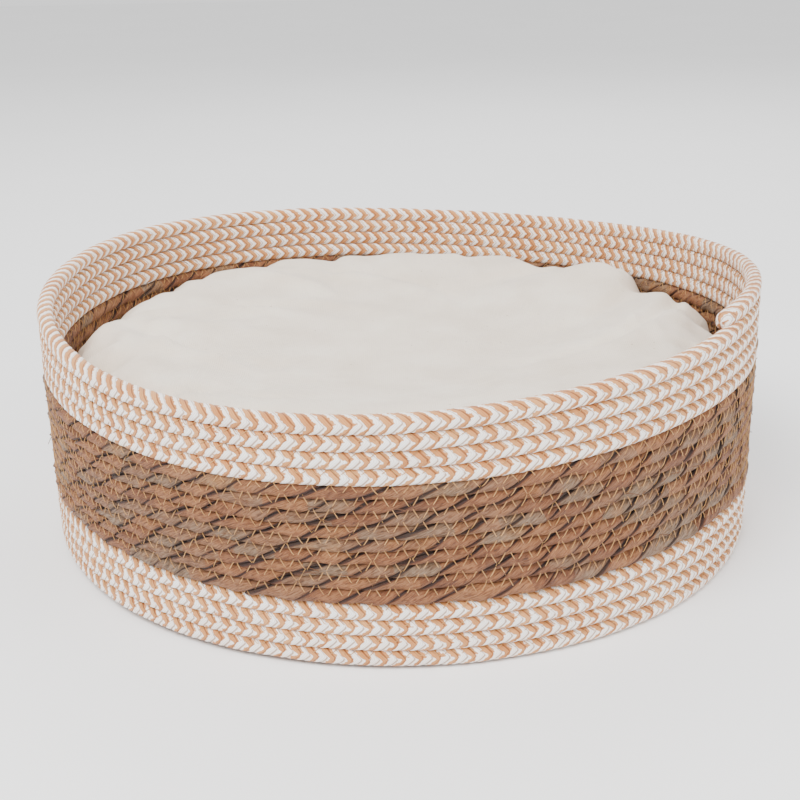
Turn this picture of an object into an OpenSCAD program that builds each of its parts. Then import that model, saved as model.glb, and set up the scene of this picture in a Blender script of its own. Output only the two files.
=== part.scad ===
// Round pet bed basket: cotton and water-hyacinth ropes coiled upwards and sewn turn to turn,
// with a loose round cushion inside. Millimetres, +Z up, the ground at z = 0, the front at -Y.
//
// Each rope climbs one row in every turn. A turn is drawn as two half circles that lean opposite
// ways across the diameter at coil_start, so each length of rope runs smoothly into the next one.

/* [Basket] */
// Diameter of the circle that the rope's centre follows
coil_d = 440; // [300:5:600]
// Direction in which each turn starts, in degrees from the right towards the back
coil_start = -16; // [-90:1:0]
// Rows of cotton rope in the lower band
lower_turns = 4; // [2:1:6]
// Rows of hyacinth rope in the middle band
middle_turns = 9; // [4:1:12]
// Rows of cotton rope in the upper band
upper_turns = 4; // [2:1:6]

/* [Ropes] */
// Height of one row of the braided cotton rope
cotton_row = 9.6; // [8:0.1:13]
// Height of one row of the twisted hyacinth rope
hyacinth_row = 7.6; // [6:0.1:11]
// Gap left between two rows that lie on each other
row_gap = 0.04; // [0.02:0.01:0.2]
// Angle of the turn under the first row where the rope is still too thin to draw
wedge_start = 60; // [45:5:120]
// Number of steps in which that turn thickens
wedge_steps = 12; // [6:1:24]
// Angle by which the rope end at the rim runs on past the last full turn
rim_end_angle = 20; // [8:1:45]
// Depth by which that end's round tip is thinner than the rope
end_taper = 0.3; // [0.2:0.1:1]
// Diameter of the flat disc at the middle of the base
base_hub_d = 20; // [12:1:30]
// Depth by which two neighbouring ropes of the base press into each other
base_squeeze = 0.32; // [0.2:0.02:0.6]

/* [Sewing] */
// Diameter of the sewing thread
thread_d = 1; // [0.6:0.1:1.6]
// Gap between the thread and the ropes that it lies on
thread_gap = 0.05; // [0.02:0.01:0.2]

/* [Cushion] */
// Gap between the cushion and the wall of the basket
cushion_side_gap = 14; // [5:1:30]
// Gap under the cushion, between it and the base
cushion_under_gap = 0.3; // [0.3:0.1:1]
// Thickness of the cushion
cushion_h = 97; // [60:1:100]
// Depth of the slept-in hollow in the cushion's top
hollow_depth = 10; // [4:1:20]
// Diameter of that hollow
hollow_d = 260; // [160:5:280]
// Thickness of the cushion's cotton cover
cover_wall = 0.8; // [0.6:0.1:2]
// Gap between the cover and the filling
filling_gap = 0.2; // [0.1:0.1:0.5]
// Height of the seam round the cushion, above the cushion's underside
seam_h = 40; // [30:1:60]
// Diameter of the seam's folded edge
seam_d = 3; // [2:0.5:5]

/* [Hidden] */
// Flat sides that stand for a turn, a rope, a thread, the cushion's edge and its wide hollow
turn_sides = 180;
rope_sides = 24;
thread_sides = 16;
cushion_sides = 96;
hollow_sides = 360;

WHITE_COTTON = "antiquewhite";
HYACINTH = "peru";
TAN_THREAD = "burlywood";
CUSHION_CLOTH = "linen";
FILLING = "ghostwhite";

coil_r = coil_d / 2;
cotton_r = (cotton_row - row_gap) / 2;
hyacinth_r = (hyacinth_row - row_gap) / 2;
base_r = (cotton_row + base_squeeze) / 2;
thread_r = thread_d / 2;
// Half of the hair's breadth left between two lengths of rope that meet end to end, as an angle
end_cut = asin(row_gap / coil_d);

// Rows that meet where the rope changes lie half a row of each rope apart.
mixed_step = (cotton_row + hyacinth_row) / 2;

// Height of the rope's centre where each band's first turn starts
lower_z = cotton_row / 2;
middle_z = lower_z + (lower_turns - 1) * cotton_row + mixed_step;
upper_z = middle_z + cotton_row + (middle_turns - 2) * hyacinth_row + mixed_step;
rim_z = upper_z + upper_turns * cotton_row;

// A band's first turn follows the row beneath it, so it climbs a full cotton row.
function lower_start(k) = lower_z + (k - 1) * cotton_row;
function middle_start(k) = middle_z + (k > 1 ? cotton_row + (k - 2) * hyacinth_row : 0);
function middle_climb(k) = k > 1 ? hyacinth_row : cotton_row;
function upper_start(k) = upper_z + (k - 1) * cotton_row;

// A thread in the groove between two rows touches both: its place above and outside the lower row
function groove_up(r1, r2, step) =
    ((r1 + thread_r) ^ 2 - (r2 + thread_r) ^ 2 + step ^ 2) / (2 * step);
function groove_out(r1, r2, step) =
    sqrt((r1 + thread_r) ^ 2 - groove_up(r1, r2, step) ^ 2) + thread_gap;

cushion_z = cotton_row + cushion_under_gap;
cushion_r = coil_r - cotton_r - cushion_side_gap;
cushion_edge_r = cushion_h / 2;
// Radius of the ball that would press the hollow into the top
hollow_ball_r = ((hollow_d / 2) ^ 2 + hollow_depth ^ 2) / (2 * hollow_depth);

base_rows = floor((coil_r - base_hub_d / 2) / cotton_row - 0.5);

// An arc of rope in one half of a turn. It runs clockwise, seen from above, from from_angle to
// to_angle, both counted from that half's start. The whole half turn climbs half of climb.
module half_turn(first, r, rope_r, z, climb, from_angle = end_cut, to_angle = 180 - end_cut) {
    lean = atan(climb / (4 * r)) * (first ? 1 : -1);
    start = (first ? 180 : 360) - to_angle;
    rotate([0, 0, coil_start + 180])
        translate([0, 0, z + climb * (first ? 0.25 : 0.75)])
            rotate([0, -lean, 0])
                rotate_extrude(angle = to_angle - from_angle, start = start, $fn = turn_sides)
                    translate([r / cos(lean), 0]) circle(r = rope_r, $fn = rope_sides);
}

// One full turn of rope whose centre starts at height z
module turn(r, rope_r, z, climb) {
    half_turn(true, r, rope_r, z, climb);
    half_turn(false, r, rope_r, z, climb);
}

// Outline of half the base: rope rows side by side round a flat hub. The outermost row keeps clear
// of the wall, and the others press into each other.
module base_outline() {
    intersection() {
        union() {
            square([coil_r - base_rows * cotton_row, cotton_row - row_gap]);
            for (k = [1:base_rows])
                translate([coil_r - k * cotton_row, cotton_row / 2])
                    circle(r = k > 1 ? base_r : cotton_r, $fn = rope_sides);
        }
        square([coil_r, cotton_row - row_gap]);
    }
}

module base_coil() {
    color(WHITE_COTTON) rotate_extrude($fn = turn_sides) base_outline();
}

// Height that the rope's centre has climbed at an angle along a turn
function climbed(angle) =
    cotton_row * (angle < 180 ? 1 - cos(angle) : 3 + cos(angle)) / 4;

// The base's outermost turn, pressed flat on the ground under the wall's first turn. It thickens
// in short steps as that turn climbs off the ground.
module base_edge_turn() {
    step = (360 - wedge_start) / wedge_steps;
    color(WHITE_COTTON)
        for (i = [1:wedge_steps])
            rotate([0, 0, coil_start - wedge_start - i * step])
                rotate_extrude(angle = step, $fn = turn_sides)
                    intersection() {
                        translate([coil_r, climbed(wedge_start + (i - 1) * step) - cotton_row / 2])
                            circle(r = cotton_r, $fn = rope_sides);
                        square([coil_d, cotton_row]);
                    }
}

module lower_turn(k) {
    color(WHITE_COTTON) turn(coil_r, cotton_r, lower_start(k), cotton_row);
}

module middle_turn(k) {
    color(HYACINTH) turn(coil_r, hyacinth_r, middle_start(k), middle_climb(k));
}

module upper_turn(k) {
    color(WHITE_COTTON) turn(coil_r, cotton_r, upper_start(k), cotton_row);
}

// The rope's blunt end, lying on the row below it at the rim
module rim_rope_end() {
    lean = atan(cotton_row / (4 * coil_r));
    color(WHITE_COTTON) {
        half_turn(true, coil_r, cotton_r, rim_z, cotton_row, to_angle = rim_end_angle);
        rotate([0, 0, coil_start + 180])
            translate([0, 0, rim_z + cotton_row / 4])
                rotate([0, -lean, 0])
                    rotate([0, 0, 180 - rim_end_angle])
                        translate([coil_r / cos(lean), 0, 0])
                            sphere(r = cotton_r - end_taper, $fn = rope_sides);
    }
}

// A turn of thread in the groove over a row that starts at height z
module thread_turn(r1, r2, step, z, climb) {
    turn(coil_r + groove_out(r1, r2, step), thread_r, z + groove_up(r1, r2, step), climb);
}

module base_stitching() {
    up = groove_out(base_r, base_r, cotton_row);
    color(TAN_THREAD)
        for (k = [1:base_rows - 1])
            translate([0, 0, cotton_row / 2 + up])
                rotate_extrude($fn = turn_sides)
                    translate([coil_r - (k + 0.5) * cotton_row, 0])
                        circle(r = thread_r, $fn = thread_sides);
}

module lower_stitching() {
    color(TAN_THREAD) {
        for (k = [1:lower_turns - 1])
            thread_turn(cotton_r, cotton_r, cotton_row, lower_start(k), cotton_row);
        thread_turn(cotton_r, hyacinth_r, mixed_step, lower_start(lower_turns), cotton_row);
    }
}

module middle_stitching() {
    color(TAN_THREAD) {
        for (k = [1:middle_turns - 1])
            thread_turn(hyacinth_r, hyacinth_r, hyacinth_row, middle_start(k), middle_climb(k));
        thread_turn(hyacinth_r, cotton_r, mixed_step, middle_start(middle_turns), hyacinth_row);
    }
}

module upper_stitching() {
    color(TAN_THREAD)
        for (k = [1:upper_turns - 1])
            thread_turn(cotton_r, cotton_r, cotton_row, upper_start(k), cotton_row);
}

// Half of the cushion's cross-section, drawn inset by a wall, with the hollow in its top
module cushion_outline(inset) {
    edge_x = cushion_r - cushion_edge_r;
    translate([0, cushion_z])
        difference() {
            union() {
                translate([0, inset]) square([edge_x, cushion_h - 2 * inset]);
                intersection() {
                    translate([edge_x, cushion_edge_r])
                        circle(r = cushion_edge_r - inset, $fn = cushion_sides);
                    square([cushion_r, cushion_h]);
                }
            }
            translate([0, cushion_h - hollow_depth + hollow_ball_r])
                circle(r = hollow_ball_r + inset, $fn = hollow_sides);
        }
}

// The part of the cushion's cover from height low to height high over the cushion's underside
module cushion_cover(low, high) {
    color(CUSHION_CLOTH)
        rotate_extrude($fn = turn_sides)
            intersection() {
                difference() {
                    cushion_outline(0);
                    cushion_outline(cover_wall);
                }
                translate([0, cushion_z + low]) square([coil_r, high - low]);
            }
}

module cushion_cover_bottom() {
    cushion_cover(0, seam_h);
}

module cushion_cover_top() {
    cushion_cover(seam_h, cushion_h);
}

module cushion_filling() {
    color(FILLING) rotate_extrude($fn = turn_sides) cushion_outline(cover_wall + filling_gap);
}

// The two covers' folded edges, sewn together in a ring round the cushion
module cushion_edge_seam() {
    half_h = seam_h - cushion_edge_r;
    seam_r = cushion_r - cushion_edge_r + sqrt(cushion_edge_r ^ 2 - half_h ^ 2);
    color(CUSHION_CLOTH)
        translate([0, 0, cushion_z + seam_h])
            rotate_extrude($fn = turn_sides)
                translate([seam_r + seam_d / 2 + filling_gap, 0])
                    circle(r = seam_d / 2, $fn = rope_sides);
}

base_coil();
base_edge_turn();
for (k = [1:lower_turns]) lower_turn(k);
for (k = [1:middle_turns]) middle_turn(k);
for (k = [1:upper_turns]) upper_turn(k);
rim_rope_end();
base_stitching();
lower_stitching();
middle_stitching();
upper_stitching();
cushion_cover_bottom();
cushion_filling();
cushion_cover_top();
cushion_edge_seam();
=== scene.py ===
"""Round pet bed: a basket of coiled and sewn rope, with a loose stuffed cushion in it."""

import math

import bmesh
import bpy
import numpy as np
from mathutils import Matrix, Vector


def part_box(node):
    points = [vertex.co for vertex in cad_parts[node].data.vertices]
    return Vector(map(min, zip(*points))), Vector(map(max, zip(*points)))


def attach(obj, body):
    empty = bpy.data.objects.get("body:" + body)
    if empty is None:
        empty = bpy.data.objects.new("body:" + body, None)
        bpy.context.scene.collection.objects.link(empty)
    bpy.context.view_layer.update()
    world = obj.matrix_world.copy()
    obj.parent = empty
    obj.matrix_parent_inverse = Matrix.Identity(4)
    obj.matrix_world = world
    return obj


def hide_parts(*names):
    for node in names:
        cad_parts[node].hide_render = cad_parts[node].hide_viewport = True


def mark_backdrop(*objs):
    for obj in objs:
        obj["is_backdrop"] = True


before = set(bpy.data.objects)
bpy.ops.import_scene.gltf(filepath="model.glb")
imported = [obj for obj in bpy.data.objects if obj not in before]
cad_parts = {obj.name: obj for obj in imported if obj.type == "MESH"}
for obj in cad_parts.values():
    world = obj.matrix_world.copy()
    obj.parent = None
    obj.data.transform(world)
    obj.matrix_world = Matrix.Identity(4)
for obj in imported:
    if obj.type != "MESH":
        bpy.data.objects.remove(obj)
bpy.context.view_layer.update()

MM = 0.001
TURN = 2 * math.pi


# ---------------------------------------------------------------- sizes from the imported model

def rows(band, count):
    return [f"{band}_turn_{k}" for k in range(1, count + 1)]


LOWER, MIDDLE, UPPER = rows("lower", 4), rows("middle", 9), rows("upper", 4)


def floor_of(node):
    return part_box(node)[0].z


def height_of(node):
    low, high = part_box(node)
    return high.z - low.z


def rope_radius(first, second):
    """Half the rope's thickness, from two turns that each climb one row."""
    climb = floor_of(second) - floor_of(first)
    return (height_of(first) - climb) / 2


COTTON_R = rope_radius("lower_turn_1", "lower_turn_2")
HYACINTH_R = rope_radius("middle_turn_2", "middle_turn_3")
COTTON_ROW = floor_of("lower_turn_2") - floor_of("lower_turn_1")
HYACINTH_ROW = floor_of("middle_turn_3") - floor_of("middle_turn_2")
COIL_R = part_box("lower_turn_2")[1].x - COTTON_R
# The coil starts 16 degrees in front of +X, and the rope's end passes that place by 20 degrees.
COIL_START = math.radians(-16)
RIM_END_TURNS = 20 / 360
WALL_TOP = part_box("upper_turn_4")[1].z
ROUND = TURN * COIL_R
# Lengths up the wall's coil where the three ropes meet and where the last one ends. Two ropes
# that meet each stop a little short of their join.
LOWER_END = len(LOWER) * ROUND
UPPER_START = len(LOWER + MIDDLE) * ROUND
UPPER_END = (len(LOWER + MIDDLE + UPPER) + RIM_END_TURNS) * ROUND
JOIN_GAP = 0.5 * MM

TURN_STARTS = np.array(
    [floor_of(n) + COTTON_R for n in LOWER]
    + [floor_of(n) + HYACINTH_R for n in MIDDLE]
    + [floor_of(n) + COTTON_R for n in UPPER + ["rim_rope_end"]]
)
TURN_CLIMBS = np.array(
    [height_of(n) - 2 * COTTON_R for n in LOWER]
    + [height_of(n) - 2 * HYACINTH_R for n in MIDDLE]
    + [height_of(n) - 2 * COTTON_R for n in UPPER]
    + [COTTON_ROW]
)


# ---------------------------------------------------------------- the coil that the ropes follow

def drift(x, waves, seed):
    """A slow seeded wander between about -1 and 1, with the given wave lengths."""
    shift = np.random.default_rng(seed).uniform(0, TURN, len(waves))
    return sum(np.sin(TURN * x / w + s) for w, s in zip(waves, shift)) / math.sqrt(len(waves))


def eased(part):
    """Share of a turn's climb that is done after this part of the turn."""
    wave = np.cos(TURN * part)
    return np.where(part < 0.5, 1 - wave, 3 + wave) / 4


def wall_height(turns):
    """Height of the rope's centre, that many turns up the wall."""
    k = np.clip(np.floor(turns).astype(int), 0, len(TURN_STARTS) - 1)
    return TURN_STARTS[k] + TURN_CLIMBS[k] * eased(turns - k)


# The soft wall has lost its true round: its rim dips at the left front and the right back, and
# leans outwards, most at the front and the back.
SAG = 8.1 * MM
SAG_TURN = math.radians(25.5)
LEAN = 4.4 * MM
OVAL = 4.8 * MM
RIPPLE = 0.4 * MM
RIPPLE_PER_METRE = 90


def settle(azimuth, radius, height):
    """Puts a point of the true coil where the soft wall carries it."""
    share = height / WALL_TOP
    radius = radius + share * (LEAN - OVAL * np.cos(2 * azimuth))
    ripple = drift(azimuth / TURN, (1 / 5, 1 / 9), 4) * np.cos(height * RIPPLE_PER_METRE)
    radius = radius + RIPPLE * ripple
    height = height + SAG * share * np.cos(2 * (azimuth + SAG_TURN))
    return np.stack((radius * np.cos(azimuth), radius * np.sin(azimuth), height), -1)


def wall_place(along):
    """Centre, outward direction and upward direction of the wall's rope at lengths along it."""
    turns = along / ROUND
    azimuth = COIL_START - TURN * turns
    centre = settle(azimuth, COIL_R, wall_height(turns))
    out = np.stack((np.cos(azimuth), np.sin(azimuth), np.zeros_like(azimuth)), -1)
    return centre, out, np.broadcast_to((0.0, 0.0, 1.0), out.shape)


# The rope end at the rim slides a little inward and down on the row below it.
TUCK_LENGTH = 60 * MM
TUCK_IN = 5.0 * MM
TUCK_DOWN = 3.5 * MM


def rim_place(along):
    centre, out, up = wall_place(along)
    share = np.clip((along - UPPER_END + TUCK_LENGTH) / TUCK_LENGTH, 0, 1)[..., None] ** 2
    return centre - out * share * TUCK_IN - up * share * TUCK_DOWN, out, up


def base_radius(turns_left):
    """Radius of the flat spiral. Its last turn slides under the wall's first turn as that climbs."""
    whole = np.floor(turns_left)
    aside = np.sqrt(np.clip(1 - eased(1 - (turns_left - whole)) ** 2, 0, 1))
    return COIL_R - COTTON_ROW * (whole + aside)


# The spiral starts a little way out from the middle, as a rope can't bend round a point.
BASE_TURNS = math.floor(COIL_R / COTTON_ROW) - 0.6
BASE_TABLE_STEPS = 4000


def base_table():
    """Length along the spiral against turns, so that the braid keeps its length."""
    turns = np.linspace(0, BASE_TURNS, BASE_TABLE_STEPS)
    radius = base_radius(turns)
    step = TURN * np.diff(turns) * (radius[1:] + radius[:-1]) / 2
    return turns, np.concatenate(([0], np.cumsum(step)))


BASE_TURN_LIST, BASE_LENGTH_LIST = base_table()
BASE_LENGTH = BASE_LENGTH_LIST[-1]


def base_place(along, outward=0.0, height=None):
    """As wall_place, for the flat base: along runs from -BASE_LENGTH to 0 at the wall."""
    turns_left = np.interp(-along, BASE_LENGTH_LIST, BASE_TURN_LIST)
    azimuth = COIL_START + TURN * turns_left
    radius = base_radius(turns_left) + outward
    level = np.full_like(azimuth, COTTON_R if height is None else height)
    centre = np.stack((radius * np.cos(azimuth), radius * np.sin(azimuth), level), -1)
    out = np.stack((np.cos(azimuth), np.sin(azimuth), np.zeros_like(azimuth)), -1)
    return centre, out, np.broadcast_to((0.0, 0.0, 1.0), out.shape)


# ---------------------------------------------------------------- meshes

def make_piece(name, points, quads, ends=(), uv=None):
    """A smooth mesh piece from points, four-sided faces and many-sided end faces."""
    mesh = bpy.data.meshes.new(name)
    points = points.reshape(-1, 3)
    mesh.vertices.add(len(points))
    mesh.vertices.foreach_set("co", points.ravel())
    loops = np.concatenate([quads.ravel(), *ends]).astype(np.int32)
    sizes = np.array([4] * len(quads) + [len(e) for e in ends])
    mesh.loops.add(len(loops))
    mesh.loops.foreach_set("vertex_index", loops)
    mesh.polygons.add(len(sizes))
    mesh.polygons.foreach_set("loop_start", np.concatenate(([0], np.cumsum(sizes)[:-1])))
    if uv is not None:
        layer = mesh.uv_layers.new(name="along_and_round")
        layer.data.foreach_set("uv", np.concatenate([np.asarray(c, float).ravel() for c in uv]))
    mesh.update(calc_edges=True)
    mesh.polygons.foreach_set("use_smooth", [True] * len(sizes))
    piece = bpy.data.objects.new(name, mesh)
    bpy.context.scene.collection.objects.link(piece)
    return piece


def tube_faces(rings, sides, first=0):
    """Quads between rings of points, and a many-sided face on each end."""
    i = np.arange(rings - 1)[:, None]
    j = np.arange(sides)[None, :]
    a = first + i * sides + j
    b = first + i * sides + (j + 1) % sides
    quads = np.stack((a, a + sides, b + sides, b), -1).reshape(-1, 4)
    return quads, first + j[0], first + (rings - 1) * sides + j[0][::-1]


def tube_piece(name, points, along=None, turns=None):
    """A closed tube through points[ring, side]. along and turns are its two texture coordinates,
    with one more side than the points, so that the last one closes the tube."""
    rings, sides = points.shape[:2]
    quads, start, end = tube_faces(rings, sides)
    uv = None
    if along is not None:
        a, t = along, np.broadcast_to(turns, along.shape)
        corners = [(a[:-1, :-1], t[:-1, :-1]), (a[1:, :-1], t[1:, :-1]),
                   (a[1:, 1:], t[1:, 1:]), (a[:-1, 1:], t[:-1, 1:])]
        quad_uv = np.stack([np.stack(c, -1) for c in corners], 2)
        cap_start = np.stack((a[0, :-1], t[0, :-1]), -1)
        cap_end = np.stack((a[-1, :-1], t[-1, :-1]), -1)[::-1]
        uv = [quad_uv, cap_start, cap_end]
    return make_piece(name, points, quads, (start, end), uv)


# A cut rope end is round, with a small flat in its middle.
END_ROUNDING = 0.93


def rounded_end(along, low, high, reach, round_low, round_high):
    """How much of its thickness a rope keeps near a rounded end."""
    keep = np.ones_like(along)
    for wanted, gap in ((round_low, along - low), (round_high, high - along)):
        if wanted:
            share = np.clip(1 - gap / reach, 0, 1)
            keep = keep * np.sqrt(1 - END_ROUNDING * share ** 2)
    return keep


# Braid: its strands repeat every 9 mm along the rope and run back at about 45 degrees on both
# sides of a line of arrowheads on the outer face. Angles round the rope are in radians upwards
# from its outermost line.
BRAID_REPEAT = 9 * MM
BRAID_SLANT = 0.5
BRAID_RELIEF = 0.6 * MM
BRAID_RUN_IN = 30 * MM
ARROW_LINE = 0.12
ARROW_SWING = 0.20
ARROW_WANDER = 0.20
ARROW_DIP = 0.2 * MM
ARROW_DIP_WIDTH = 0.17
# The rope is pressed to a rounded square, which the rows above and below bed into.
SQUARENESS = 2.6
BEDDING = 0.2 * MM
ROPE_UNEVEN = 0.12 * MM
COTTON_END = 4.5 * MM


def braided_rope(name, place, low, high, steps_per_repeat, sides,
                 round_low=False, round_high=False, seed=1):
    """A rope of flat braided strands. The rings of points slant with the strands, so that each
    strand's edge is a clean line."""
    count = int((high - low) / BRAID_REPEAT * steps_per_repeat)
    base = low + (high - low) * np.arange(count + 1) / count
    angle = TURN * (np.arange(sides + 1) / sides - 0.5)
    c, phi = base[:, None], angle[None, :]
    arrow = (ARROW_LINE + ARROW_SWING * np.sin(TURN * c / BRAID_REPEAT)
             + ARROW_WANDER * drift(c, (0.083, 0.19), seed))
    fold = np.abs(phi - arrow * (0.5 + 0.5 * np.cos(phi)))
    slant = np.clip(np.minimum(c - low, high - c) / BRAID_RUN_IN, 0, 1)
    along = c + slant * BRAID_REPEAT * BRAID_SLANT * fold
    strand = along / BRAID_REPEAT - BRAID_SLANT * fold
    across = (2 * strand) % 1
    crown = np.sqrt(np.clip(4 * across * (1 - across), 0, 1))
    half_wide, half_high = COTTON_R - BEDDING / 2, COTTON_ROW / 2 + BEDDING
    body = ((np.abs(np.cos(phi)) / half_wide) ** SQUARENESS
            + (np.abs(np.sin(phi)) / half_high) ** SQUARENESS) ** (-1 / SQUARENESS)
    body = body + ROPE_UNEVEN * drift(along, (0.041, 0.067, 0.15), seed + 1)
    dip = ARROW_DIP * np.exp(-(fold / ARROW_DIP_WIDTH) ** 2)
    radius = body - BRAID_RELIEF * (1 - crown) - dip
    radius = radius * rounded_end(along, low, high, COTTON_END, round_low, round_high)
    centre, out, up = place(along)
    points = centre + radius[..., None] * (np.cos(phi)[..., None] * out
                                           + np.sin(phi)[..., None] * up)
    return tube_piece(name, points[:, :-1], strand, phi / TURN + 0.5)


# Hyacinth: two soft flat plies with a lay of 45 mm, which rise to the right on the outer face.
# A ply's offset, thickness and width are shares of the rope's radius.
LAY = 45 * MM
PLY_OFFSET = 0.50
PLY_THICK = 0.62
PLY_WIDE = 1.15
PLY_STEP = 2.6 * MM
PLY_SIDES = 14
PLY_END = 4 * MM
# How far the twist wanders, in radians: both plies together, and each on its own
TWIST_WANDER = 0.9
PLY_WANDER = 0.2
# How far rows may press into each other before they flatten
PLY_OVERLAP = 0.9 * MM
# How much of the extra thickness each ply takes on
PLY_EXTRA = 0.75


def extra_thickness(turns):
    """How much thicker the hyacinth rope is near its ends, where it meets the thicker cotton."""
    first, last = len(LOWER), len(LOWER + MIDDLE) - 1
    climbed = eased(turns % 1)
    share = np.where(turns < first + 1, 1 - climbed, np.where(turns >= last, climbed, 0))
    return (COTTON_ROW - HYACINTH_ROW) * share


def twisted_ply(name, low, high, phase, seed):
    sides = PLY_SIDES
    along = np.linspace(low, high, int((high - low) / PLY_STEP) + 1)
    centre, out, up = wall_place(along)
    extra = extra_thickness(along / ROUND)
    centre = centre + up * extra[:, None] / 2
    wander = (TWIST_WANDER * drift(along, (0.11, 0.23, 0.41), 33)
              + PLY_WANDER * drift(along, (0.071, 0.16), seed))
    twist = phase - TURN * along / LAY + wander
    offset = HYACINTH_R * (PLY_OFFSET + 0.05 * drift(along, (0.031, 0.053), seed + 1))
    away = np.cos(twist)[:, None] * out + np.sin(twist)[:, None] * up
    line = centre + offset[:, None] * away
    ahead = np.gradient(line, axis=0)
    ahead /= np.linalg.norm(ahead, axis=1, keepdims=True)
    aside = np.cross(ahead, away)
    aside /= np.linalg.norm(aside, axis=1, keepdims=True)
    away = np.cross(aside, ahead)
    phi = TURN * (np.arange(sides + 1) / sides)[None, :]
    keep = rounded_end(along, low, high, PLY_END, True, True)[:, None]
    keep = keep * (1 + PLY_EXTRA * extra[:, None] / HYACINTH_ROW)
    thick = HYACINTH_R * PLY_THICK * (1 + 0.13 * drift(along, (0.029, 0.047), seed + 2))[:, None]
    wide = HYACINTH_R * PLY_WIDE * (1 + 0.11 * drift(along, (0.023, 0.061), seed + 3))[:, None]
    # Five broad ridges and nine fine ones run along each ply.
    ridge = 1 + 0.045 * np.sin(5 * phi + 3 * drift(along, (0.05, 0.09), seed + 4)[:, None])
    ridge = ridge + 0.03 * np.sin(9 * phi + TURN * along[:, None] / 0.037)
    points = (line[:, None]
              + (thick * keep * ridge * np.cos(phi))[..., None] * away[:, None]
              + (wide * keep * ridge * np.sin(phi))[..., None] * aside[:, None])
    # The rows press each other flat where they meet.
    level = points[..., 2] - centre[:, None, 2]
    room = (HYACINTH_ROW + extra[:, None]) / 2 + PLY_OVERLAP
    points[..., 2] = centre[:, None, 2] + level / (1 + (np.abs(level) / room) ** 6) ** (1 / 6)
    length = np.broadcast_to(along[:, None] / LAY, (len(along), sides + 1))
    return tube_piece(name, points[:, :-1], length, phi / TURN)


# Sewing: a zigzag seam with a stitch of 9.5 mm, in thread 0.46 mm thick.
STITCH = 9.5 * MM
THREAD_R = 0.23 * MM
RINGS_PER_STITCH = 6
STITCH_UNEVEN = 0.10
# At each foot and head of the zigzag the thread dives into the rope.
NEEDLE_HOLE = 0.99
NEEDLE_DEPTH = 1.3 * MM
COIL_TOP = len(TURN_STARTS) - 0.01


def thread_piece(name, lines, sides=4):
    """A thin tube along each line of points. Several lines make one piece."""
    points, faces, ends, first = [], [], [], 0
    for path in lines:
        ahead = np.gradient(path, axis=0)
        ahead /= np.linalg.norm(ahead, axis=1, keepdims=True) + 1e-12
        spread = path.copy()
        spread[:, 2] = 0
        spread /= np.linalg.norm(spread, axis=1, keepdims=True) + 1e-12
        side = np.cross(ahead, spread)
        side /= np.linalg.norm(side, axis=1, keepdims=True) + 1e-12
        lift = np.cross(side, ahead)
        phi = TURN * np.arange(sides) / sides
        ring = (path[:, None]
                + THREAD_R * np.cos(phi)[None, :, None] * lift[:, None]
                + THREAD_R * np.sin(phi)[None, :, None] * side[:, None])
        quads, start, end = tube_faces(len(path), sides, first)
        points.append(ring.reshape(-1, 3))
        faces.append(quads)
        ends += [start, end]
        first += len(path) * sides
    return make_piece(name, np.concatenate(points), np.concatenate(faces), ends)


def zigzag(count, seed):
    """Part of a stitch from its foot (0) to its head (1) at each ring, with uneven hand feed."""
    ring = np.arange(count)
    part = ring % RINGS_PER_STITCH / RINGS_PER_STITCH
    rise = 1 - np.abs(2 * part - 1)
    return rise, STITCH_UNEVEN * drift(ring * 1.0, (13.0, 29.0, 71.0), seed)


def wall_seam(name, low, high, reach_down, reach_up, rope_r, crease, seed):
    """The seam in the groove over the wall's rope from low to high, in turns, on both faces.
    crease says how near the thread stays to the rope's outermost line, as it spans the groove."""
    lines = []
    for face in (1, -1):
        count = int((high - low) * ROUND / STITCH * RINGS_PER_STITCH) + 1
        rise, uneven = zigzag(count, seed + face)
        turns = np.linspace(low, high, count)
        azimuth = COIL_START - TURN * turns
        groove = (wall_height(turns) + wall_height(np.minimum(turns + 1, COIL_TOP))) / 2
        level = -reach_down * (1 + uneven) + (reach_down + reach_up) * rise
        bulge = rope_r * (1 - np.clip(1 - np.abs(level) / rope_r, 0, 1) ** 2.5) ** 0.4
        proud = np.maximum(bulge, crease * rope_r) + 0.7 * THREAD_R
        proud = proud - NEEDLE_DEPTH * (np.abs(2 * rise - 1) > NEEDLE_HOLE)
        lines.append(settle(azimuth, COIL_R + face * proud, groove + level))
    return thread_piece(name, lines)


BASE_STITCH_REACH = 3.2 * MM
BASE_GROOVE = 2.6 * MM
BASE_SINK = 0.9 * MM


def base_seam(name):
    """The seam between the base's turns, on its upper and under faces."""
    lines = []
    low = -np.interp(BASE_TURNS - 0.7, BASE_TURN_LIST, BASE_LENGTH_LIST)
    high = -np.interp(1.0, BASE_TURN_LIST, BASE_LENGTH_LIST)
    for face, height in ((1, 2 * COTTON_R - 0.35 * MM), (-1, 0.45 * MM)):
        count = int((high - low) / STITCH * RINGS_PER_STITCH) + 1
        rise, uneven = zigzag(count, 40 + face)
        along = np.linspace(low, high, count)
        aside = BASE_STITCH_REACH * (2 * rise - 1) * (1 + uneven)
        line = base_place(along, COTTON_ROW / 2 + aside, height)[0]
        in_groove = 1 - np.clip(np.abs(aside) / BASE_GROOVE, 0, 1)
        in_rope = np.abs(2 * rise - 1) > NEEDLE_HOLE
        line[:, 2] -= face * BASE_SINK * (in_groove + in_rope)
        lines.append(line)
    return thread_piece(name, lines)


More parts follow.
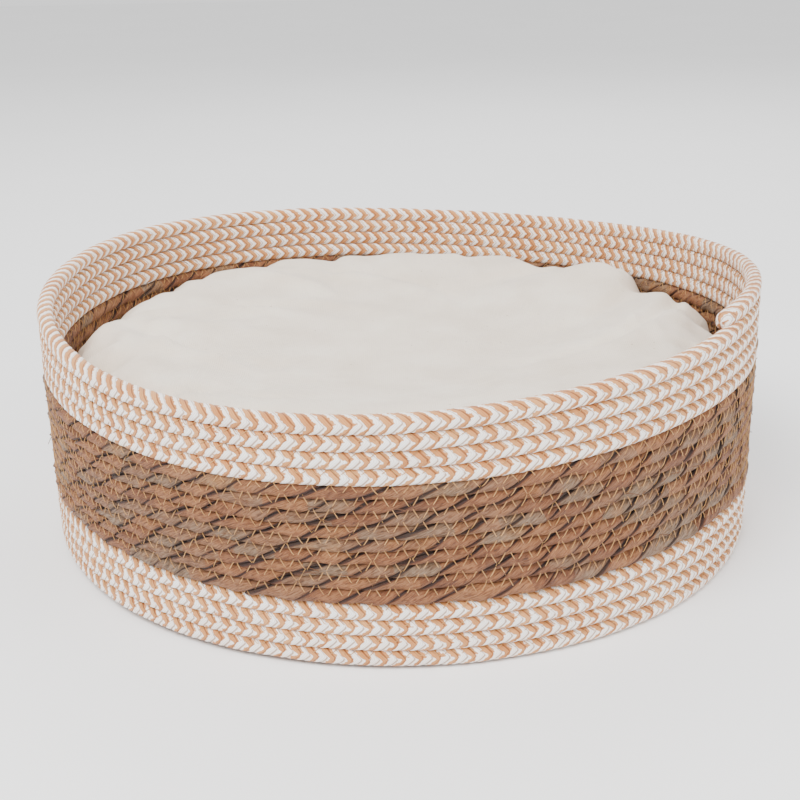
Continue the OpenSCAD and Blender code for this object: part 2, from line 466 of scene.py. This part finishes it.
def loose_fibres(count, seed):
    """Short fibres, 4 to 12 mm long, that stand out of the hyacinth rows, mostly outside."""
    pick = np.random.default_rng(seed)
    first, last = len(LOWER), len(LOWER + MIDDLE)
    lines = []
    for _ in range(count):
        turns = pick.uniform(first + 0.1, last - 0.1)
        face = 1 if pick.random() < 0.75 else -1
        azimuth = COIL_START - TURN * turns
        centre = settle(azimuth, COIL_R + face * HYACINTH_R * 0.75,
                        wall_height(turns) + pick.uniform(-2.5, 2.5) * MM)
        out = face * np.array((math.cos(azimuth), math.sin(azimuth), 0))
        sideways = np.array((-math.sin(azimuth), math.cos(azimuth), 0)) * pick.choice((-1, 1))
        length = pick.uniform(4, 12) * MM
        part = np.linspace(0, 1, 6)[:, None]
        rise = pick.uniform(-0.25, 0.25)
        line = (centre + sideways * length * part
                + out * (pick.uniform(0.12, 0.32) * length * part ** 0.8 + 0.3 * MM)
                + np.array((0, 0, 1)) * rise * length * part ** 1.5)
        lines.append(line)
    return lines


# ---------------------------------------------------------------- materials

def colour(hex_code):
    """The linear colour of an sRGB hex code."""
    parts = [int(hex_code[i:i + 2], 16) / 255 for i in (1, 3, 5)]
    linear = [p / 12.92 if p <= 0.04045 else ((p + 0.055) / 1.055) ** 2.4 for p in parts]
    return (*linear, 1.0)


class Finish:
    """A material and its nodes. Values that are the same all over are set on its shader."""

    def __init__(self, name, roughness, ior=1.5, sheen=0.0):
        self.material = bpy.data.materials.new(name)
        self.material.use_nodes = True
        self.tree = self.material.node_tree
        self.shader = self.tree.nodes["Principled BSDF"]
        self.shader.inputs["Roughness"].default_value = roughness
        self.shader.inputs["IOR"].default_value = ior
        self.shader.inputs["Sheen Weight"].default_value = sheen

    def add(self, kind, settings=None, **links):
        """Adds a node. Inputs are given by name or, after i, by number."""
        node = self.tree.nodes.new(kind)
        for key, value in (settings or {}).items():
            setattr(node, key, value)
        for key, value in links.items():
            plug = node.inputs[int(key[1:]) if key[1:].isdigit() else key.replace("_", " ")]
            if isinstance(value, bpy.types.NodeSocket):
                self.tree.links.new(value, plug)
            else:
                plug.default_value = value
        return node

    def link(self, socket, plug):
        self.tree.links.new(socket, self.shader.inputs[plug])


def ramp(finish, factor, stops):
    """Colours that change with a value, from stops of value and sRGB hex code."""
    node = finish.add("ShaderNodeValToRGB", Fac=factor)
    while len(node.color_ramp.elements) < len(stops):
        node.color_ramp.elements.new(0.5)
    for element, (place, shade) in zip(node.color_ramp.elements, stops):
        element.position = place
        element.color = colour(shade)
    return node.outputs["Color"]


def braided_cotton():
    """Soft cotton rope, braided from flat strands of bleached and of undyed beige yarn: matte and
    slightly fuzzy, with each strand's yarns side by side along it."""
    f = Finish("braided_cotton_rope", roughness=0.92, ior=1.53, sheen=0.15)
    spot = f.add("ShaderNodeSeparateXYZ", i0=f.add("ShaderNodeUVMap").outputs["UV"])
    strand, around = spot.outputs["X"], spot.outputs["Y"]
    place = f.add("ShaderNodeTexCoord").outputs["Object"]
    fuzz = f.add("ShaderNodeTexNoise", Vector=place, Scale=900.0, Detail=2.0)
    # Loose yarns make each strand's edge uneven, and the braid is not quite regular.
    ragged = f.add("ShaderNodeTexNoise", Vector=place, Scale=520.0, Detail=2.0)
    wander = f.add("ShaderNodeTexNoise", Vector=place, Scale=120.0, Detail=1.0)
    edge = f.add("ShaderNodeMath", {"operation": "MULTIPLY_ADD"},
                 i0=ragged.outputs["Fac"], i1=0.40, i2=-0.20)
    edge = f.add("ShaderNodeMath", {"operation": "MULTIPLY_ADD"},
                 i0=wander.outputs["Fac"], i1=0.24, i2=edge.outputs[0])
    # At the arrowheads the white strands pass over the beige ones.
    aside = f.add("ShaderNodeMath", {"operation": "SUBTRACT"}, i0=around, i1=0.5)
    aside = f.add("ShaderNodeMath", {"operation": "ABSOLUTE"}, i0=aside.outputs[0])
    pinch = f.add("ShaderNodeMapRange", i0=aside.outputs[0], i1=0.015, i2=0.06, i3=0.11, i4=0.0)
    rough_strand = f.add("ShaderNodeMath", {"operation": "ADD"}, i0=strand, i1=edge.outputs[0])
    half = f.add("ShaderNodeMath", {"operation": "FRACT"}, i0=rough_strand.outputs[0])
    middle = f.add("ShaderNodeMath", {"operation": "SUBTRACT"}, i0=half.outputs[0], i1=0.73)
    middle = f.add("ShaderNodeMath", {"operation": "ABSOLUTE"}, i0=middle.outputs[0])
    middle = f.add("ShaderNodeMath", {"operation": "ADD"},
                   i0=middle.outputs[0], i1=pinch.outputs[0])
    is_beige = ramp(f, middle.outputs[0], [(0.245, "#ffffff"), (0.285, "#000000")])
    patch = f.add("ShaderNodeTexNoise", Vector=place, Scale=55.0, Detail=2.0)
    white = ramp(f, patch.outputs["Fac"], [(0.3, "#fbf1e8"), (0.7, "#fffdfa")])
    beige = ramp(f, patch.outputs["Fac"], [(0.3, "#bd7c43"), (0.7, "#d39a63")])
    base = f.add("ShaderNodeMix", {"data_type": "RGBA"}, i0=is_beige, i6=white, i7=beige)
    # Painted shade in the crease between strands, and between the yarns (about 1.1 mm apart) along
    # each strand
    twice = f.add("ShaderNodeMath", {"operation": "MULTIPLY"}, i0=strand, i1=2.0)
    across = f.add("ShaderNodeMath", {"operation": "PINGPONG"}, i0=twice.outputs[0], i1=0.5)
    # Painted shade: dark brown at each strand's edge, fading to none a little way in
    crease = ramp(f, across.outputs[0],
                  [(0.0, "#6e4c30"), (0.07, "#c8ab92"), (0.15, "#ffffff")])
    yarn = f.add("ShaderNodeMath", {"operation": "MULTIPLY"}, i0=strand, i1=8.0)
    yarn_across = f.add("ShaderNodeMath", {"operation": "PINGPONG"}, i0=yarn.outputs[0], i1=0.5)
    painted_yarn_shade = ramp(f, yarn_across.outputs[0], [(0.0, "#cdb8a6"), (0.22, "#ffffff")])
    painted_shade_colour = f.add("ShaderNodeMix", {"data_type": "RGBA", "blend_type": "MULTIPLY"},
                    i0=0.75, i6=base.outputs[2], i7=crease)
    # Painted shade darkens a rope's under side, where it beds into the next row.
    painted_bedding_shade = ramp(f, around, [(0.19, "#ffffff"), (0.22, "#a07a5a"), (0.275, "#8a6344"),
                               (0.31, "#ffffff")])
    painted_shade_colour = f.add("ShaderNodeMix", {"data_type": "RGBA", "blend_type": "MULTIPLY"},
                    i0=0.85, i6=painted_shade_colour.outputs[2], i7=painted_bedding_shade)
    final = f.add("ShaderNodeMix", {"data_type": "RGBA", "blend_type": "MULTIPLY"},
                  i0=0.6, i6=painted_shade_colour.outputs[2], i7=painted_yarn_shade)
    f.link(final.outputs[2], "Base Color")
    yarn_height = f.add("ShaderNodeMath", {"operation": "MULTIPLY_ADD"},
                        i0=fuzz.outputs["Fac"], i1=0.5, i2=yarn_across.outputs[0])
    bump = f.add("ShaderNodeBump", Height=yarn_height.outputs[0], Strength=0.5,
                 Distance=0.0006)
    f.link(bump.outputs["Normal"], "Normal")
    return f.material


def twisted_hyacinth():
    """Dried water-hyacinth stalks, twisted in two plies: fibrous and papery, with a dull shine on
    the skin. Each length of stalk has its own brown."""
    f = Finish("twisted_water_hyacinth", roughness=0.72, ior=1.5, sheen=0.05)
    spot = f.add("ShaderNodeSeparateXYZ", i0=f.add("ShaderNodeUVMap").outputs["UV"])
    length, around = spot.outputs["X"], spot.outputs["Y"]
    half = f.add("ShaderNodeMath", {"operation": "MULTIPLY_ADD"}, i0=length, i1=2.0, i2=0.5)
    stalk = f.add("ShaderNodeMath", {"operation": "FLOOR"}, i0=half.outputs[0])
    tone = f.add("ShaderNodeTexWhiteNoise", {"noise_dimensions": "1D"}, W=stalk.outputs[0])
    turn = f.add("ShaderNodeMath", {"operation": "MULTIPLY"}, i0=around, i1=TURN)
    cos = f.add("ShaderNodeMath", {"operation": "COSINE"}, i0=turn.outputs[0])
    sin = f.add("ShaderNodeMath", {"operation": "SINE"}, i0=turn.outputs[0])
    # Fibres run along the ply, about 0.6 mm apart and 20 mm long.
    stretch = f.add("ShaderNodeMath", {"operation": "MULTIPLY"}, i0=length, i1=2.4)
    fibre_place = f.add("ShaderNodeCombineXYZ", X=stretch.outputs[0], Y=cos.outputs[0],
                        Z=sin.outputs[0])
    fibre = f.add("ShaderNodeTexNoise", Vector=fibre_place.outputs[0], Scale=5.5, Detail=4.0,
                  Roughness=0.62)
    skin = f.add("ShaderNodeTexNoise", Vector=f.add("ShaderNodeTexCoord").outputs["Object"],
                 Scale=90.0, Detail=3.0)
    mixed = f.add("ShaderNodeMath", {"operation": "MULTIPLY_ADD"},
                  i0=skin.outputs["Fac"], i1=0.5, i2=tone.outputs["Value"])
    shade = f.add("ShaderNodeMath", {"operation": "MULTIPLY_ADD"},
                  i0=mixed.outputs[0], i1=0.8, i2=-0.1)
    stalk_colour = ramp(f, shade.outputs[0],
                        [(0.0, "#70462b"), (0.22, "#8c5b37"), (0.45, "#9c6a40"),
                         (0.65, "#8d6648"), (0.82, "#86705a"), (1.0, "#a8753f")])
    streak = ramp(f, fibre.outputs["Fac"],
                  [(0.32, "#5e3d28"), (0.45, "#c9ae94"), (0.60, "#ffffff")])
    fibrous = f.add("ShaderNodeMix", {"data_type": "RGBA", "blend_type": "MULTIPLY"},
                    i0=0.85, i6=stalk_colour, i7=streak)
    # Painted shade darkens each ply where it turns in towards the other one.
    inward = f.add("ShaderNodeMath", {"operation": "MULTIPLY_ADD"},
                   i0=cos.outputs[0], i1=-0.5, i2=0.5)
    inward = f.add("ShaderNodeMath", {"operation": "MULTIPLY_ADD"},
                   i0=fibre.outputs["Fac"], i1=0.12, i2=inward.outputs[0])
    # Painted shade: none on the outer face, up to dark brown where the ply faces the rope's middle
    edge = ramp(f, inward.outputs[0],
                [(0.50, "#ffffff"), (0.60, "#9c765c"), (0.72, "#553722")])
    final = f.add("ShaderNodeMix", {"data_type": "RGBA", "blend_type": "MULTIPLY"},
                  i0=0.9, i6=fibrous.outputs[2], i7=edge)
    f.link(final.outputs[2], "Base Color")
    bump = f.add("ShaderNodeBump", Height=fibre.outputs["Fac"], Strength=1.0, Distance=0.0016)
    f.link(bump.outputs["Normal"], "Normal")
    return f.material


def tan_thread():
    """Waxed polyester sewing thread, spun in three plies: thin, tan, with a faint gloss."""
    f = Finish("tan_sewing_thread", roughness=0.6, ior=1.5, sheen=0.1)
    place = f.add("ShaderNodeTexCoord").outputs["Object"]
    patch = f.add("ShaderNodeTexNoise", Vector=place, Scale=70.0, Detail=2.0)
    f.link(ramp(f, patch.outputs["Fac"], [(0.3, "#a4743e"), (0.7, "#c4955a")]), "Base Color")
    # The plies' twist, drawn 1 mm apart: the real 0.4 mm is too fine to show
    twist = f.add("ShaderNodeTexNoise", Vector=place, Scale=1000.0, Detail=1.0)
    bump = f.add("ShaderNodeBump", Height=twist.outputs["Fac"], Strength=0.4, Distance=0.0003)
    f.link(bump.outputs["Normal"], "Normal")
    return f.material


def calico():
    """Unbleached cotton calico, plain-woven: matte cream cloth with dark seed flecks."""
    f = Finish("unbleached_calico", roughness=0.9, ior=1.53, sheen=0.2)
    place = f.add("ShaderNodeTexCoord").outputs["Object"]
    # Warp and weft, drawn 1.2 mm apart: the real 0.5 mm is too fine to show
    threads = []
    for direction in ("X", "Y"):
        threads.append(f.add("ShaderNodeTexWave",
                             {"wave_type": "BANDS", "bands_direction": direction},
                             Vector=place, Scale=265.0, Distortion=0.6,
                             Detail=1.0).outputs["Fac"])
    weave = f.add("ShaderNodeMath", {"operation": "MULTIPLY"}, i0=threads[0], i1=threads[1])
    slub = f.add("ShaderNodeTexNoise", Vector=place, Scale=30.0, Detail=4.0)
    cloth = ramp(f, slub.outputs["Fac"], [(0.3, "#dccdb9"), (0.7, "#eadecd")])
    fleck = f.add("ShaderNodeTexVoronoi", {"feature": "F1"}, Vector=place, Scale=75.0,
                  Randomness=1.0)
    spots = ramp(f, fleck.outputs["Distance"],
                 [(0.0, "#9c8468"), (0.035, "#b9a78f"), (0.055, "#ffffff")])
    flecked = f.add("ShaderNodeMix", {"data_type": "RGBA", "blend_type": "MULTIPLY"},
                    i0=0.8, i6=cloth, i7=spots)
    f.link(flecked.outputs[2], "Base Color")
    crumple = f.add("ShaderNodeTexNoise", Vector=place, Scale=28.0, Detail=5.0, Roughness=0.55)
    height = f.add("ShaderNodeMath", {"operation": "MULTIPLY_ADD"},
                   i0=weave.outputs[0], i1=0.10, i2=crumple.outputs["Fac"])
    bump = f.add("ShaderNodeBump", Height=height.outputs[0], Strength=0.7, Distance=0.004)
    f.link(bump.outputs["Normal"], "Normal")
    return f.material


def pale_board():
    """Matt painted board, for the floor."""
    f = Finish("matt_white_board", roughness=0.85)
    place = f.add("ShaderNodeTexCoord").outputs["Object"]
    cloud = f.add("ShaderNodeTexNoise", Vector=place, Scale=3.0, Detail=2.0)
    f.link(ramp(f, cloud.outputs["Fac"], [(0.3, "#f6f6f6"), (0.7, "#f8f8f8")]), "Base Color")
    return f.material


COTTON, HYACINTH, THREAD, CALICO = braided_cotton(), twisted_hyacinth(), tan_thread(), calico()


def finish_piece(piece, material, body, slot, *nodes):
    piece.data.materials.append(material)
    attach(piece, body)
    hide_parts(*nodes)


# ---------------------------------------------------------------- the basket

# Rings of points in each repeat of the braid, and points in a ring
WALL_RINGS, WALL_SIDES = 8, 18
BASE_RINGS, BASE_SIDES = 4.9, 12

lower_rope = braided_rope("lower_cotton_rope", wall_place, 0, LOWER_END - JOIN_GAP,
                          WALL_RINGS, WALL_SIDES, round_high=True, seed=10)
finish_piece(lower_rope, COTTON, "basket", "cotton_rope", *LOWER)

upper_rope = braided_rope("upper_cotton_rope", rim_place, UPPER_START + JOIN_GAP, UPPER_END,
                          WALL_RINGS, WALL_SIDES, round_low=True, round_high=True, seed=20)
finish_piece(upper_rope, COTTON, "basket", "cotton_rope", *UPPER, "rim_rope_end")

base_rope = braided_rope("base_cotton_rope", base_place, -BASE_LENGTH, 0,
                         BASE_RINGS, BASE_SIDES, round_low=True, seed=10)
finish_piece(base_rope, COTTON, "basket", "cotton_rope", "base_coil", "base_edge_turn")

for number, phase in ((1, 0.0), (2, math.pi)):
    ply = twisted_ply(f"hyacinth_ply_{number}", LOWER_END + JOIN_GAP, UPPER_START - JOIN_GAP,
                      phase, seed=30 + 10 * number)
    finish_piece(ply, HYACINTH, "basket", "hyacinth_rope", *MIDDLE)

fibres = thread_piece("hyacinth_loose_fibres", loose_fibres(380, 5), sides=3)
finish_piece(fibres, HYACINTH, "basket", "hyacinth_rope", *MIDDLE)

# Each seam's name, its first and last turn, how far the zigzag reaches below and above the groove
# in millimetres, the rope's radius, how near the thread stays to the rope's outermost line, and
# the sewing it belongs to
seams = [
    ("lower_seam", 0, 3, 3.2, 0.6, COTTON_R, 0.7, "lower_stitching"),
    ("lower_edge_seam", 3, 4, 3.2, 3.4, COTTON_R, 0.85, "lower_stitching"),
    ("middle_seam", 4, 12, 4.8, 4.6, HYACINTH_R, 1.12, "middle_stitching"),
    ("middle_edge_seam", 12, 13, 5.2, 1.2, HYACINTH_R, 1.12, "middle_stitching"),
    ("upper_seam", 13, 16 + RIM_END_TURNS, 3.2, 0.6, COTTON_R, 0.7, "upper_stitching"),
]
for seed, (name, low, high, down, up, rope_r, crease, node) in enumerate(seams):
    seam = wall_seam(name, low, high, down * MM, up * MM, rope_r, crease, 60 + 5 * seed)
    finish_piece(seam, THREAD, "basket", "sewing_thread", node)

finish_piece(base_seam("base_seam"), THREAD, "basket", "sewing_thread", "base_stitching")


# ---------------------------------------------------------------- the cushion

CUSHION_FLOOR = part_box("cushion_cover_bottom")[0].z
CUSHION_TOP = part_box("cushion_cover_top")[1].z
SEAM_LEVEL = sum(corner.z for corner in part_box("cushion_edge_seam")) / 2
# The cover is slack, so it stands wider and higher than its filling, and the bottom panel lies
# a little off the floor before it swells.
SLACK_WIDE = 12 * MM
SLACK_HIGH = 13 * MM
SLACK_LOW = 2 * MM
# How square each panel's edge is: a high power stays flat until close to the seam.
TOP_POWER = 44
BOTTOM_POWER = 7
GATHER = 3.5 * MM
GATHER_WIDE = 0.012
# The slept-in hollow's depth, and its reach as a share of the cushion's radius
HOLLOW = 19 * MM
HOLLOW_REACH = 0.66


def pillow_mesh(name):
    """The stuffed cover before it swells: two round panels gathered into a seam, with a slept-in
    hollow."""
    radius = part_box("cushion_filling")[1].x + SLACK_WIDE
    rings, spokes = 60, 240
    mesh = bmesh.new()
    grid = {}
    azimuths = TURN * np.arange(spokes) / spokes
    pleats = drift(azimuths * 3.1, (0.31, 0.47, 0.73), 11)
    depths = {1: CUSHION_TOP - SEAM_LEVEL + SLACK_HIGH, -1: SEAM_LEVEL - CUSHION_FLOOR - SLACK_LOW}
    powers = {1: TOP_POWER, -1: BOTTOM_POWER}
    for panel in (1, -1):
        for i in range(rings + 1):
            share = math.sin(math.pi / 2 * i / rings)
            for j, azimuth in enumerate(azimuths):
                if i == rings and panel < 0:
                    grid[panel, i, j] = grid[1, i, j]
                    continue
                if i == 0 and j > 0:
                    grid[panel, i, j] = grid[panel, 0, 0]
                    continue
                crown = (1 - share ** powers[panel]) ** 0.5
                gather = share ** 8 * (1 - share ** 40)
                level = depths[panel] * crown + GATHER * gather * pleats[j]
                if panel > 0:
                    level -= HOLLOW * math.exp(-(share / HOLLOW_REACH) ** 4)
                edge = radius * (1 + GATHER_WIDE * pleats[j] * share ** 6)
                grid[panel, i, j] = mesh.verts.new((
                    edge * share * math.cos(azimuth), edge * share * math.sin(azimuth),
                    SEAM_LEVEL + panel * level))
        for i in range(rings):
            for j in range(spokes):
                k = (j + 1) % spokes
                corners = [grid[panel, i, j], grid[panel, i + 1, j],
                           grid[panel, i + 1, k], grid[panel, i, k]]
                corners = list(dict.fromkeys(corners))
                if len(corners) > 2:
                    mesh.faces.new(corners if panel > 0 else corners[::-1])
    data = bpy.data.meshes.new(name)
    mesh.to_mesh(data)
    mesh.free()
    piece = bpy.data.objects.new(name, data)
    bpy.context.scene.collection.objects.link(piece)
    return piece


def points_of(piece):
    data = np.zeros(len(piece.data.vertices) * 3)
    piece.data.vertices.foreach_get("co", data)
    return data.reshape(-1, 3)


def apply_modifiers(piece):
    shaped = piece.evaluated_get(bpy.context.evaluated_depsgraph_get())
    mesh = bpy.data.meshes.new_from_object(shaped)
    piece.modifiers.clear()
    piece.data = mesh


CLOTH_VOXEL = 5 * MM
SWELL_FRAMES = 20
SWELL_CAP = 7 * MM


def swell(piece):
    """Lets the cover swell like cloth round its filling, and caps how far any point may move."""
    remesh = piece.modifiers.new("remesh", "REMESH")
    remesh.mode, remesh.voxel_size = "VOXEL", CLOTH_VOXEL
    apply_modifiers(piece)
    before = points_of(piece)
    cloth = piece.modifiers.new("cloth", "CLOTH")
    cloth.settings.use_pressure = True
    cloth.settings.uniform_pressure_force = 4.0
    cloth.settings.effector_weights.gravity = 0
    cloth.settings.shrink_min = -0.05
    cloth.settings.quality = 6
    cloth.point_cache.frame_end = SWELL_FRAMES
    scene = bpy.context.scene
    for step in range(1, SWELL_FRAMES + 1):
        scene.frame_set(step)
    apply_modifiers(piece)
    scene.frame_set(1)
    move = points_of(piece) - before
    size = np.linalg.norm(move, axis=1, keepdims=True)
    after = before + move * np.minimum(1, SWELL_CAP / np.maximum(size, 1e-9))
    piece.data.vertices.foreach_set("co", after.ravel())


WALL_GAP = 2 * MM
FLOOR_GAP = 0.1 * MM
# How hard the wall is to the cushion: a high power touches it flat.
WALL_POWER = 60


def fit_in_basket(piece):
    """Keeps the cushion off the base and clear of the wall, as the basket does."""
    points = points_of(piece)
    azimuth = np.arctan2(points[:, 1], points[:, 0])
    lean = np.clip(points[:, 2] / WALL_TOP, 0, 1) * (LEAN - OVAL * np.cos(2 * azimuth))
    limit = COIL_R - COTTON_R - WALL_GAP + lean
    radius = np.linalg.norm(points[:, :2], axis=1)
    soft = radius / (1 + (radius / limit) ** WALL_POWER) ** (1 / WALL_POWER)
    points[:, :2] *= (soft / np.maximum(radius, 1e-9))[:, None]
    points[:, 2] = np.maximum(points[:, 2], CUSHION_FLOOR + FLOOR_GAP)
    piece.data.vertices.foreach_set("co", points.ravel())
    piece.data.update()


# Long folds of slack cloth on the top: direction in radians, distance out and length in metres,
# height (a hollow if below 0) and width in millimetres, and how much it curls round as it runs
# outwards
FOLDS = [(0.22, 0.190, 0.070, 6.0, 24, 0.7), (0.42, 0.180, 0.070, -8.0, 12, 0.4),
         (0.62, 0.190, 0.060, 8.0, 26, -0.2), (0.90, 0.175, 0.055, -7.0, 13, -0.4),
         (0.02, 0.170, 0.070, -7.0, 11, 0.9), (-0.14, 0.165, 0.060, 5.0, 18, 0.9),
         (2.80, 0.150, 0.060, -4.0, 7, 0.8), (2.93, 0.155, 0.060, 4.0, 10, 0.8),
         (3.25, 0.160, 0.050, -4.0, 8, -0.7), (3.45, 0.165, 0.050, 3.5, 11, -0.7)]


SMALL_FOLDS = 26
# Folds start at the cushion's middle height and are at their full height this far above it.
FOLD_DEPTH = 25 * MM


def fold_cloth(piece):
    """Lays the long folds into the top of the cushion, and finer slack between them."""
    pick = np.random.default_rng(17)
    folds = FOLDS + [(pick.uniform(1.1, 6.0), pick.uniform(0.11, 0.18), pick.uniform(0.03, 0.06),
                      pick.choice((-1, 1)) * pick.uniform(2, 4), pick.uniform(6, 12),
                      pick.uniform(-2, 2)) for _ in range(SMALL_FOLDS)]
    points = points_of(piece)
    radius = np.linalg.norm(points[:, :2], axis=1)
    azimuth = np.arctan2(points[:, 1], points[:, 0])
    middle = (CUSHION_FLOOR + CUSHION_TOP) / 2
    on_top = np.clip((points[:, 2] - middle) / FOLD_DEPTH, 0, 1)
    lift = np.zeros(len(points))
    for turn, reach, long, high, wide, curl in folds:
        run = radius - reach
        gap = np.remainder(azimuth - turn - curl * run / 0.1 + math.pi, TURN) - math.pi
        aside = gap * radius / (wide * MM)
        # One flank is steeper than the other, as in real slack cloth.
        aside = np.where(aside > 0, aside * 1.5, aside * 0.8)
        lift += high * MM * np.exp(-aside ** 2 - (run / long) ** 2)
    points[:, 2] += on_top * lift
    piece.data.vertices.foreach_set("co", points.ravel())
    piece.data.update()


cushion = pillow_mesh("cushion")
swell(cushion)
fold_cloth(cushion)
fit_in_basket(cushion)
smooth = cushion.modifiers.new("smooth", "SUBSURF")
smooth.levels = smooth.render_levels = 1
apply_modifiers(cushion)
cushion.data.polygons.foreach_set("use_smooth", [True] * len(cushion.data.polygons))
finish_piece(cushion, CALICO, "cushion", "cushion_cloth",
             "cushion_cover_bottom", "cushion_filling", "cushion_cover_top")


# The hem's outline, outwards and upwards from the cushion's edge, in millimetres
HEM = [(-2.0, 0.9), (1.5, 0.8), (3.4, 0.55), (3.8, 0.0), (3.4, -0.55), (1.5, -0.8), (-2.0, -0.9)]
HEM_WAVE = 1.6 * MM
HEM_REACH = 6 * MM


def seam_piece(name):
    """The folded edges of the two panels: a narrow flat hem that waves round the cushion."""
    points = points_of(cushion)
    radius = np.linalg.norm(points[:, :2], axis=1)
    azimuth = np.arctan2(points[:, 1], points[:, 0])
    near = np.abs(points[:, 2] - SEAM_LEVEL) < HEM_REACH
    spokes = 360
    line = TURN * np.arange(spokes) / spokes
    index = (np.round(azimuth[near] / TURN * spokes).astype(int)) % spokes
    edge = np.zeros(spokes)
    np.maximum.at(edge, index, radius[near])
    edge[edge == 0] = edge[edge > 0].mean()
    edge = (np.roll(edge, 1) + edge + np.roll(edge, -1)) / 3
    wave = HEM_WAVE * drift(line / TURN, (1 / 17, 1 / 29, 1 / 41), 13)
    widest = max(a for a, _ in HEM)
    grid = np.array([[(edge + a * MM) * np.cos(line), (edge + a * MM) * np.sin(line),
                      SEAM_LEVEL + b * MM + wave * max(0.0, a) / widest] for a, b in HEM])
    points = grid.transpose(2, 0, 1)
    sides = len(HEM)
    faces = []
    for i in range(spokes):
        for j in range(sides):
            k = (i + 1) % spokes
            m = (j + 1) % sides
            faces.append((i * sides + j, i * sides + m, k * sides + m, k * sides + j))
    return make_piece(name, points, np.array(faces))


hem = seam_piece("cushion_hem")
finish_piece(hem, CALICO, "cushion", "cushion_cloth", "cushion_edge_seam")


# ---------------------------------------------------------------- floor, light and camera

def floor_board():
    """A floor 12 m wide, so that its edge is far away."""
    data = bpy.data.meshes.new("floor")
    reach = 6.0
    data.from_pydata([(-reach, -reach, 0), (reach, -reach, 0), (reach, reach, 0),
                      (-reach, reach, 0)], [], [(0, 1, 2, 3)])
    board = bpy.data.objects.new("floor", data)
    bpy.context.scene.collection.objects.link(board)
    board.data.materials.append(pale_board())
    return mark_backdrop(board)


floor_board()


WALL_MIDDLE = (0, 0, 0.08)


def soft_light(name, place, size, power):
    """A round lamp, size metres across, that shines on the middle of the basket."""
    data = bpy.data.lights.new(name, "AREA")
    data.shape, data.size, data.energy = "DISK", size, power
    lamp = bpy.data.objects.new(name, data)
    bpy.context.scene.collection.objects.link(lamp)
    lamp.location = place
    aim = Vector(WALL_MIDDLE) - Vector(place)
    lamp.rotation_euler = aim.to_track_quat("-Z", "Y").to_euler()


soft_light("key", (-0.7, -1.1, 1.7), 1.2, 62)
soft_light("fill", (1.4, -1.0, 1.1), 1.4, 20)
soft_light("back", (0.3, 1.5, 1.6), 1.4, 18)

world = bpy.data.worlds.new("studio")
bpy.context.scene.world = world
world.use_nodes = True
world.node_tree.nodes["Background"].inputs["Color"].default_value = (1, 1, 1, 1)
world.node_tree.nodes["Background"].inputs["Strength"].default_value = 1.2


def camera():
    """Looks down on the front at 24 degrees, from 0.9 m."""
    data = bpy.data.cameras.new("camera")
    eye = bpy.data.objects.new("camera", data)
    bpy.context.scene.collection.objects.link(eye)
    distance, rise, roll = 0.9, math.radians(24.08), math.radians(-1.14)
    eye.location = (0, -distance * math.cos(rise), distance * math.sin(rise))
    aim = Vector((-0.3, -35.0, 80.9)) * MM
    eye.rotation_euler = (aim - eye.location).to_track_quat("-Z", "Y").to_euler()
    eye.rotation_euler.rotate_axis("Z", roll)
    data.lens = 59.4
    data.sensor_width = 36
    bpy.context.scene.camera = eye


camera()
